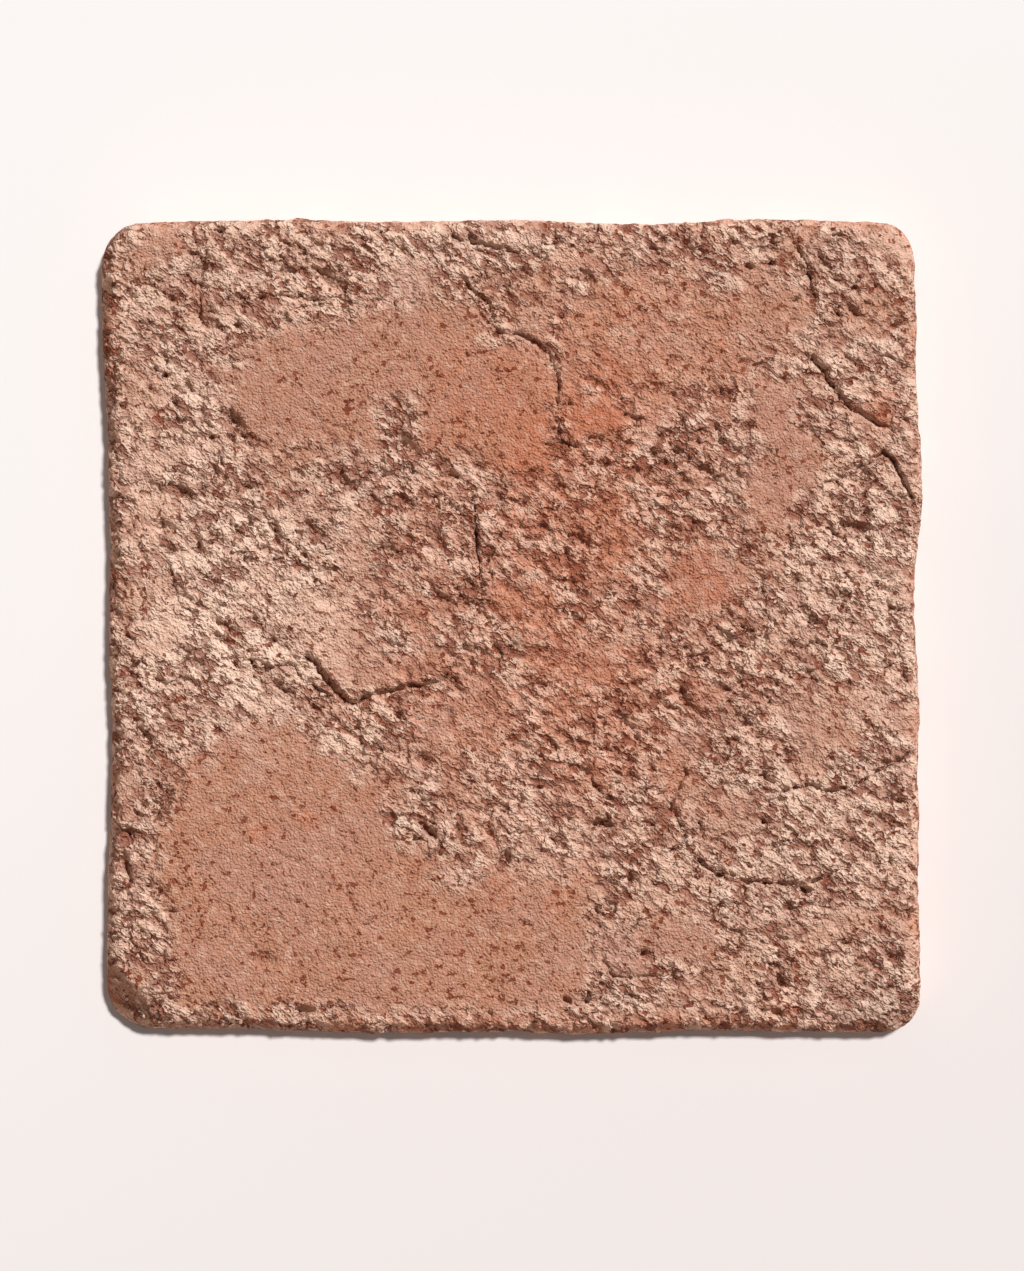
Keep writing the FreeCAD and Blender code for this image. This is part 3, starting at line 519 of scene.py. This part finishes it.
def evenSteps(ring, count):
    # the same line with count points at equal steps along each side, from one corner's middle to the next
    corners = [int(np.argmax(ring @ np.array(way))) for way in ((-1, -1), (1, -1), (1, 1), (-1, 1))]
    ring = np.roll(ring, -corners[0], axis=0)
    corners = [(corner - corners[0]) % len(ring) for corner in corners] + [len(ring)]
    closed = np.vstack([ring, ring[:1]])
    run = np.concatenate([[0], np.cumsum(np.hypot(*np.diff(closed, axis=0).T))])
    places = np.concatenate([np.linspace(run[start], run[end], count, endpoint=False)
                             for start, end in zip(corners[:-1], corners[1:])])
    return np.column_stack([np.interp(places, run, closed[:, 0]), np.interp(places, run, closed[:, 1])])


def slabProfile(look, thickness):
    # one row per step from the face round the side to the bed: how far in, how high, which way it looks
    def steps(length):
        return max(2, int(length / look["cell"]))
    arris, foot, inset = look["arris"], look["foot"], look["inset"]
    quarter = np.pi / 2
    rows = []
    for place in np.linspace(inset, arris, steps(inset - arris), endpoint=False):
        rows.append((place, thickness, quarter))
    for lean in np.linspace(quarter, 0, steps(quarter * arris), endpoint=False):
        rows.append((arris * (1 - np.cos(lean)), thickness - arris * (1 - np.sin(lean)), lean))
    for place in np.linspace(thickness - arris, foot, steps(thickness - arris - foot), endpoint=False):
        rows.append((0, place, 0))
    for lean in np.linspace(0, -quarter, steps(quarter * foot), endpoint=False):
        rows.append((foot * (1 - np.cos(lean)), foot * (1 + np.sin(lean)), lean))
    for place in np.linspace(foot, inset, steps(inset - foot)):
        rows.append((place, 0, -quarter))
    return np.array(rows)


def patchInside(loop, count):
    # fills a four-sided line: each point is the blend of the two lines across, plus that of the two lines up,
    # less the blend of the four corners
    near, right = loop[:count + 1], loop[count:2 * count + 1]
    far, left = loop[2 * count:3 * count + 1][::-1], np.vstack([loop[3 * count:], loop[:1]])[::-1]
    u = np.linspace(0, 1, count + 1)[None, :, None]
    v = np.linspace(0, 1, count + 1)[:, None, None]
    across = (1 - v) * near[None] + v * far[None]
    up = (1 - u) * left[:, None] + u * right[:, None]
    corners = ((1 - u) * (1 - v) * near[0] + u * (1 - v) * near[-1] + (1 - u) * v * far[0] + u * v * far[-1])
    return (across + up - corners).reshape(-1, near.shape[1])


def slabSurface(node, look):
    # points, the way each looks, and the four-sided faces of the closed slab
    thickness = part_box("floor_tile")[1].z / mm
    line = footLine(node, look["footLevel"])
    girth = np.hypot(*(np.roll(line, -1, axis=0) - line).T).sum()
    count = int(girth / 4 / look["cell"])
    loop = evenSteps(line, count)
    reach = int(3 / look["cell"])
    along = np.roll(loop, -reach, axis=0) - np.roll(loop, reach, axis=0)
    inward = np.column_stack([-along[:, 1], along[:, 0]]) / np.hypot(*along.T)[:, None]
    rows = slabProfile(look, thickness)
    inset, height, lean = rows[:, 0, None], rows[:, 1, None], rows[:, 2, None]
    ringX, ringY = loop[:, 0] + inset * inward[:, 0], loop[:, 1] + inset * inward[:, 1]
    rings = np.stack([ringX, ringY, height + 0 * ringX], axis=2)
    looks = np.stack([-np.cos(lean) * inward[:, 0], -np.cos(lean) * inward[:, 1],
                      np.sin(lean) + 0 * ringX], axis=2)
    face = patchInside(rings[0], count)
    bed = patchInside(rings[-1], count)
    points = np.vstack([face, rings[1:-1].reshape(-1, 3), bed])
    lookUp = np.tile([0.0, 0, 1], (len(face), 1))
    ways = np.vstack([lookUp, looks[1:-1].reshape(-1, 3), -lookUp])
    # the numbers of the points round the rim of a square of points, in the order of the line
    square = np.arange((count + 1) ** 2).reshape(count + 1, count + 1)
    rim = np.concatenate([square[0, :-1], square[:-1, -1], square[-1, :0:-1], square[:0:-1, 0]])
    between = len(face) + np.arange(4 * count * (len(rows) - 2)).reshape(-1, 4 * count)
    bedStart = len(face) + between.size
    belt = np.vstack([rim[None], between, bedStart + rim[None]])
    beltNext = np.roll(belt, -1, axis=1)
    beltFaces = np.stack([belt[:-1], belt[1:], beltNext[1:], beltNext[:-1]], axis=2).reshape(-1, 4)
    a, b, c, d = square[:-1, :-1], square[:-1, 1:], square[1:, 1:], square[1:, :-1]
    faceFaces = np.stack([a, b, c, d], axis=2).reshape(-1, 4)
    bedFaces = np.stack([a, d, c, b], axis=2).reshape(-1, 4) + bedStart
    return points, ways, np.vstack([faceFaces, beltFaces, bedFaces])


def meshOf(name, points, faces):
    mesh = bpy.data.meshes.new(name)
    mesh.from_pydata(points * mm, [], faces)
    mesh.update()
    return mesh


def pointsOf(mesh):
    points = np.empty(3 * len(mesh.vertices), np.float32)
    mesh.vertices.foreach_get("co", points)
    return points.reshape(-1, 3).astype(float) / mm


def finished(piece, name):
    # the piece's mesh with its modifiers worked in
    graph = bpy.context.evaluated_depsgraph_get()
    mesh = bpy.data.meshes.new_from_object(piece.evaluated_get(graph), depsgraph=graph)
    mesh.name = name
    return mesh


def swapMesh(piece, mesh):
    old = piece.data
    piece.modifiers.clear()
    piece.data = mesh
    bpy.data.meshes.remove(old)


points, ways, faces = slabSurface(cadTile, tileLook)
print("slab surface:", len(points), "points,", len(faces), "faces")
start = points + tileLook["clearance"] * ways
tile = bpy.data.objects.new("terracottaTile", meshOf("terracottaTile", start, faces))
bpy.context.scene.collection.objects.link(tile)
press = tile.modifiers.new("press on to the CAD tile", "SHRINKWRAP")
press.target = cadTile
press.wrap_method = "PROJECT"
press.use_positive_direction = False
press.use_negative_direction = True
swapMesh(tile, finished(tile, "pressedTile"))
pressed = pointsOf(tile.data)
missed = np.linalg.norm(pressed - start, axis=1) < 0.01
pressed[missed] = points[missed]
print("pressed on to the CAD tile, missed points:", int(missed.sum()))

x, y, z = pressed.T
lookingUp = ways[:, 2]
upShare = ease(lookingUp, -0.05, 0.45)
height = np.zeros(len(pressed))
onFace = upShare > 0
height[onFace] = faceRelief(x[onFace], y[onFace], faceLook)[0] * upShare[onFace]
onSide = (upShare < 1) & (lookingUp > -0.9)
height[onSide] += (1 - upShare[onSide]) * sideRelief(x[onSide], y[onSide], z[onSide], sideLook)
onBed = lookingUp <= -0.9
height[onBed] = bedRelief(x[onBed], y[onBed])
shaped = pressed + height[:, None] * ways
# the face also wanders sideways, so that the CAD tile's straight cuts and steps turn ragged
for axis in (0, 1):
    shaped[:, axis] += tileLook["wander"] * upShare * layered(x / 3.3, y / 3.3, 151 + 8 * axis, 3, 0.6)
shaped[:, 2] = np.maximum(shaped[:, 2], 0)
tile.data.vertices.foreach_set("co", (shaped * mm).astype(np.float32).ravel())
tile.data.update()
print("torn face and sides worked in")

thin = tile.modifiers.new("thin", "DECIMATE")
thin.ratio = tileLook["triangles"] / (2 * len(faces))
thin.use_collapse_triangulate = True
swapMesh(tile, finished(tile, "terracottaTile"))
tile.data.polygons.foreach_set("use_smooth", np.ones(len(tile.data.polygons), bool))
print("thinned to", len(tile.data.polygons), "triangles")


# Colours: masks on the vertices, some of them for painted shade and painted highlight, and the clay's
# material that mixes them.

colourSpots = {
    # soft spots of another colour: x, y, length, breadth, turn from +X, strength
    # orange: the clay's own orange; on the left and near edges, which are turned from the light, it is partly
    # painted shade
    "orange": [(25, 25, 150, 240, -12, 0.5), (20, 40, 70, 130, -15, 0.9), (28, -30, 70, 70, 0, 0.8),
               (70, 17, 30, 28, 0, 0.6), (54, -50, 14, 46, 0, 0.6), (-148, 100, 12, 22, 0, 0.9),
               (-149, 15, 9, 22, 0, 0.9), (-149, -20, 9, 14, 0, 0.9), (135, 80, 12, 24, 0, 0.8),
               (98, -138, 16, 14, 0, 0.8), (-92, -76, 9, 9, 0, 0.8), (-76, -70, 12, 7, -20, 0.6),
               (30, 74, 24, 22, 0, 0.9), (0, -146, 260, 9, 0, 0.55), (-40, -30, 40, 30, 0, 0.5)],
    # cream: pale clay; the band along the far edge and the spot at the far right corner are painted highlight
    # where those edges face the light
    "cream": [(-100, 5, 85, 90, 0, 1.0), (-120, 60, 50, 70, 0, 0.7), (-67, -43, 9, 10, 0, 1.0),
              (-55, -43, 10, 10, 0, 1.0), (26, -6, 8, 9, 0, 0.8), (90, 15, 7, 9, 0, 0.9),
              (88, 137, 9, 7, 0, 0.9), (138, 138, 22, 22, 0, 0.5), (128, 20, 45, 110, 0, 0.6),
              (-20, 140, 120, 18, 0, 0.6), (118, -75, 60, 50, 0, 0.45), (20, -82, 50, 20, 0, 0.5)],
    "lilac": [(96, 62, 30, 62, 0, 0.8), (62, -115, 34, 18, 0, 0.9), (-85, -88, 60, 26, 0, 0.7),
              (-70, 90, 80, 50, 0, 0.35)],
    # painted shade: dark brown on the broken corners and slopes turned from the light, in broad hollows and
    # along the left edge
    "shadeBrown": [(2, -7, 5, 11, 0, 0.8), (32, -72.5, 12, 5, 0, 0.6), (-31, -75, 9, 4, -35, 0.7),
              (-2.5, -85, 8, 7, 0, 0.7), (88, -63, 5, 6, 0, 0.7), (140, -144, 44, 22, -25, 1.0),
              (-114, 131, 9, 13, 0, 0.7), (-142, -139, 22, 30, 40, 0.35), (-147, -121, 6, 7, 0, 0.9),
              (-148, 88, 6, 60, 0, 0.6), (-148, -60, 5, 60, 0, 0.5)],
}


def spotMask(x, y, spots):
    # the strongest of several soft ovals whose borders wander with layered noise
    mask = np.zeros(x.shape)
    wander = 0.35 * layered(x / 14.0, y / 14.0, 301, 3)
    for px, py, long, wide, turn, strength in spots:
        alongX, alongY = turned(x - px, y - py, turn, 1)
        away = np.hypot(alongX / (long / 2), alongY / (wide / 2)) + wander
        mask = np.maximum(mask, strength * (1 - ease(away, 0.55, 1.25)))
    return mask


def paintOn(mesh, name, values):
    mask = mesh.attributes.new(name, "FLOAT", "POINT")
    mask.data.foreach_set("value", values.astype(np.float32))


x, y, z = pointsOf(tile.data).T
looks = np.empty(3 * len(x), np.float32)
tile.data.vertices.foreach_get("normal", looks)
up = looks.reshape(-1, 3)[:, 2]
faceShare = ease(z, 3.0, 15.0) * (up > -0.5)
height, smooth, hollowShade, torn = faceRelief(x, y, faceLook)
for colour, spots in colourSpots.items():
    paintOn(tile.data, colour, spotMask(x, y, spots) * faceShare)
paintOn(tile.data, "smooth", smooth * faceShare)
# painted shade: darker, redder clay in the tears, the pits and the low clods
paintOn(tile.data, "cavityShade", np.clip(0.9 * hollowShade + 0.7 * ease(-torn, 0.25, 1.3), 0, 1) * faceShare)
# painted highlight: paler clay on the raised clods
paintOn(tile.data, "paleClayAndHighlight", ease(torn, 0.15, 0.9) * faceShare)
# a redder band on the sides and round the rim: partly the clay's own colour, partly painted shade on the
# rolled-off edge and the sides
rim = 0.6 * ease(np.maximum(np.abs(x), np.abs(y)), 143.0, 149.0)
paintOn(tile.data, "side", np.maximum(1 - ease(z, 12.0, 19.5), rim))
print("colour masks painted on", len(x), "points")


class Wire:
    # an output socket; arithmetic on it adds Math nodes
    def __init__(self, net, socket):
        self.net, self.socket = net, socket

    def beside(self, name):
        # another output of the same node
        return Wire(self.net, self.socket.node.outputs[name])

    def math(self, operation, first, second):
        return self.net.add("ShaderNodeMath", {"operation": operation}, {0: first, 1: second})

    def __add__(self, other):
        return self.math("ADD", self, other)

    def __radd__(self, other):
        return self.math("ADD", other, self)

    def __sub__(self, other):
        return self.math("SUBTRACT", self, other)

    def __rsub__(self, other):
        return self.math("SUBTRACT", other, self)

    def __mul__(self, other):
        return self.math("MULTIPLY", self, other)

    def __rmul__(self, other):
        return self.math("MULTIPLY", other, self)


class Net:
    # a material's nodes
    def __init__(self, name):
        self.material = bpy.data.materials.new(name)
        self.material.use_nodes = True
        self.tree = self.material.node_tree
        self.tree.nodes.clear()

    def add(self, kind, settings=None, inputs=None, output=0):
        node = self.tree.nodes.new(kind)
        for name, value in (settings or {}).items():
            setattr(node, name, value)
        for name, value in (inputs or {}).items():
            if isinstance(value, Wire):
                self.tree.links.new(value.socket, node.inputs[name])
            else:
                node.inputs[name].default_value = value
        return Wire(self, node.outputs[output]) if node.outputs else node

    def mask(self, name):
        return self.add("ShaderNodeAttribute", {"attribute_name": name}, output="Fac")

    def mix(self, factor, first, second):
        return self.add("ShaderNodeMix", {"data_type": "RGBA"}, {0: factor, 6: first, 7: second}, output=2)

    def noise(self, place, size, detail=2.0, rough=0.5, output=0):
        # size is in millimetres
        inputs = {"Vector": place, "Scale": 1 / (size * mm), "Detail": detail, "Roughness": rough}
        return self.add("ShaderNodeTexNoise", {}, inputs, output)

    def moved(self, place, size, reach, detail=2.0):
        # places pushed about by a noise of the given size, by up to reach millimetres
        push = self.noise(place, size, detail, 0.6, "Color")
        return self.add("ShaderNodeVectorMath", {"operation": "MULTIPLY_ADD"},
                        {0: push, 1: (reach * mm,) * 3, 2: place})

    def window(self, value, low, high, bottom=0.0, top=1.0):
        # 0 to 1 as the value goes from low to high, smoothly
        return self.add("ShaderNodeMapRange", {"interpolation_type": "SMOOTHSTEP"},
                        {"Value": value, "From Min": low, "From Max": high, "To Min": bottom, "To Max": top})


def screen(red, green, blue):
    # a colour as it looks on a screen, 0 to 255, in the renderer's own linear values
    shares = np.array([red, green, blue]) / 255
    linear = np.where(shares <= 0.04045, shares / 12.92, ((shares + 0.055) / 1.055) ** 2.4)
    return (*[float(value) for value in linear], 1.0)


clayLook = {
    "clay": screen(179, 126, 100),
    "cream": screen(216, 178, 156),
    "orange": screen(184, 111, 80),
    "lilac": screen(180, 131, 111),
    # painted shade on slopes turned from the light and in hollows
    "shadeBrown": screen(120, 70, 50),
    # painted shade in pits, tears and crevices
    "cavityShade": screen(126, 58, 34),
    # pale clay for flecks and the rough stretches, and painted highlight on what stands up
    "paleClayAndHighlight": screen(228, 198, 178),
    # sides and the band round the rim: redder clay, partly painted shade
    "side": screen(186, 112, 76),
    # sizes in millimetres
    "blotches": 22, "flecks": 3.2, "lumps": 2.8, "flakes": 5.0, "chips": 1.9, "grain": 0.95,
    # what pushes the relief about: size, reach
    "swirl": (2.4, 1.6), "shove": (5.0, 7.0),
    # how the lumps and the flakes lie: degrees from +X, stretch
    "lumpsLie": (-36, 2.0), "flakesLie": (-30, 1.7),
    "bump": 1.0,
}


def terracotta(look):
    # fired clay: patches of buff, cream, orange and lilac mixed by the masks and broken up by blotches, with
    # painted highlight, paler, on what stands up and painted shade, darker and redder, in pits and crevices,
    # on slopes turned from the light and round the rim. The relief is slanting lumps, grains, flakes and
    # chips that each stand at a level of their own, less crevices between flakes and small pits.
    net = Net("terracotta")
    place = net.add("ShaderNodeTexCoord", output="Object")
    swirl = net.moved(place, *look["swirl"], 1.0)
    shoved = net.moved(place, *look["shove"], 2.0)
    slanting, flaky = [
        net.add("ShaderNodeMapping", {"vector_type": "TEXTURE"},
                {"Vector": start, "Rotation": (0, 0, np.radians(turn)), "Scale": (stretch, 1.0, 1.0)})
        for start, (turn, stretch) in ((swirl, look["lumpsLie"]), (shoved, look["flakesLie"]))]
    smooth, cavityShade, paleClayAndHighlight, side = [net.mask(name) for name in ("smooth", "cavityShade", "paleClayAndHighlight", "side")]
    rough = 1 - smooth
    blotch = net.noise(place, look["blotches"], 2, 0.55)
    fleck = net.noise(place, look["flecks"], 2, 0.6)
    lumps = net.noise(slanting, look["lumps"], 2, 0.7)
    grains = net.add("ShaderNodeTexVoronoi", {}, {"Vector": swirl, "Scale": 1 / (look["grain"] * mm)})
    flakes, chips = [net.add("ShaderNodeTexVoronoi", {}, {"Vector": flaky, "Scale": 1 / (look[size] * mm)},
                             output="Color") for size in ("flakes", "chips")]
    crevice = net.window(flakes.beside("Distance"), 0.5, 0.66) * net.window(lumps, 0.56, 0.46) * rough
    speck = net.window(chips.beside("Distance") + (fleck - 0.5) * 2.5 + (blotch - 0.5) * 0.8, 0.1, 0.03)
    # the fine relief in millimetres
    relief = ((lumps - 0.5) * (rough * 2.1 + 0.5) + (0.45 - grains) * 0.5
              + (flakes - 0.5) * (rough * 1.5 + 0.1) + (chips - 0.5) * (rough * 0.7 + 0.15)
              - crevice * 0.7 - speck * 0.9)
    low = net.window(relief, 0.0, -0.8)
    high = net.window(relief, -0.05, 0.45)
    colour = net.mix(net.window(blotch, 0.35, 0.7), look["clay"], look["lilac"])
    for name in ("cream", "orange", "lilac", "shadeBrown"):
        share = net.mask(name) * net.window(blotch * 0.5 + fleck * 0.5, 0.3, 0.55, 0.55, 1.0)
        colour = net.mix(share, colour, look[name])
    # the sides and the rim band: redder clay, partly painted shade
    colour = net.mix(side * 0.8, colour, look["side"])
    colour = net.mix(net.window(fleck, 0.52, 0.72) * 0.3, colour, look["paleClayAndHighlight"])
    colour = net.mix(rough * (1 - 0.7 * net.mask("orange")) * 0.42, colour, look["paleClayAndHighlight"])
    # painted highlight: paler clay on the raised clods and on the raised fine relief
    colour = net.mix(paleClayAndHighlight * 0.3, colour, look["paleClayAndHighlight"])
    colour = net.mix(high * (rough * 0.2 + 0.25), colour, look["paleClayAndHighlight"])
    # painted shade: darker, redder clay in the tears and pits, the low clods and fine relief, the crevices
    # and the small pits
    colour = net.mix(cavityShade * 0.45, colour, look["cavityShade"])
    colour = net.mix(low * 0.5, colour, look["cavityShade"])
    colour = net.mix(crevice * 0.5, colour, look["cavityShade"])
    colour = net.mix(speck * 0.8, colour, look["cavityShade"])
    bump = net.add("ShaderNodeBump", {}, {"Strength": look["bump"], "Distance": 1.0 * mm, "Height": relief})
    shader = net.add("ShaderNodeBsdfPrincipled", {}, {"Base Color": colour, "Roughness": 0.92, "Normal": bump,
                                                      "Specular IOR Level": 0.25})
    net.add("ShaderNodeOutputMaterial", {}, {"Surface": shader})
    return net.material


tile.data.materials.clear()
tile.data.materials.append(terracotta(clayLook))
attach(tile, "root")
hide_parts("floor_tile")
print("tile dressed")


# Floor, lights and camera.

stageLook = {
    "photoHeight": 1271,                   # in pixels
    "millimetresPerPixel": 300 / 818,      # the tile is 300 mm over 818 pixels
    "middleRow": 626.5,                    # the row of the photo that the tile's middle lies on
    "cameraHeight": 2000.0,
    "outlineHeight": 15.0,                 # the level at which the outline is seen
    "floorSize": 4000.0,
    "skyLight": 0.17,
    "skyColour": (1.0, 0.97, 0.95, 1.0),
    "floorColours": [(0.945, 0.905, 0.885, 1), (0.865, 0.80, 0.78, 1)],
    # the suns: light on a flat floor, 1 being a colour rendered as written; height, turn and softness in
    # degrees; colour
    "key": (0.89, 35.0, 50.0, 2.5, (1.0, 1.0, 1.0)),
    "fill": (0.14, 45.0, 225.0, 50.0, (1.0, 0.6, 0.4)),
    "floorKey": (0.86, 73.0, 50.0, 5.0, (1.0, 1.0, 1.0)),
}


def floorMaterial():
    # pale warm white, a little darker towards the near right
    net = Net("paleFloor")
    place = net.add("ShaderNodeTexCoord", output="Object")
    across = net.add("ShaderNodeSeparateXYZ", {}, {0: place}, "X")
    fall = net.window(across * 0.45 - across.beside("Y"), -0.25, 0.3)
    colour = net.mix(fall, *stageLook["floorColours"])
    shader = net.add("ShaderNodeBsdfDiffuse", {}, {"Color": colour})
    net.add("ShaderNodeOutputMaterial", {}, {"Surface": shader})
    return net.material


def sun(name, receiver, level, elevation, turn, softness, colour):
    # a sun that lights one piece only
    lamp = bpy.data.lights.new(name, "SUN")
    lamp.color = colour
    lamp.energy = level * np.pi / np.sin(np.radians(elevation))
    lamp.angle = np.radians(softness)
    holder = bpy.data.objects.new(name, lamp)
    holder.rotation_euler = (0, np.radians(90 - elevation), np.radians(turn))
    bpy.context.scene.collection.objects.link(holder)
    lit = bpy.data.collections.new(name + "Lights")
    lit.objects.link(receiver)
    holder.light_linking.receiver_collection = lit


half = stageLook["floorSize"] / 2
floorPoints = np.array([(-half, -half, 0), (half, -half, 0), (half, half, 0), (-half, half, 0)]) - (0, 0, 0.2)
floor = bpy.data.objects.new("floor", meshOf("floor", floorPoints, [(0, 1, 2, 3)]))
bpy.context.scene.collection.objects.link(floor)
floor.data.materials.append(floorMaterial())

for name, receiver in (("key", tile), ("fill", tile), ("floorKey", floor)):
    sun(name, receiver, *stageLook[name])

world = bpy.data.worlds.new("softSky")
world.use_nodes = True
sky = world.node_tree.nodes["Background"].inputs
sky["Color"].default_value = stageLook["skyColour"]
sky["Strength"].default_value = stageLook["skyLight"]
bpy.context.scene.world = world

distance = stageLook["cameraHeight"]
viewHeight = stageLook["photoHeight"] * stageLook["millimetresPerPixel"]
lens = bpy.data.cameras.new("camera")
lens.sensor_width = 36.0
lens.lens = lens.sensor_width * distance / viewHeight
camera = bpy.data.objects.new("camera", lens)
offset = (stageLook["middleRow"] - stageLook["photoHeight"] / 2) * stageLook["millimetresPerPixel"]
camera.location = (0, offset * mm, (distance + stageLook["outlineHeight"]) * mm)
bpy.context.scene.collection.objects.link(camera)
bpy.context.scene.camera = camera
bpy.context.scene.view_settings.view_transform = "Standard"
print("floor, lights and camera set")
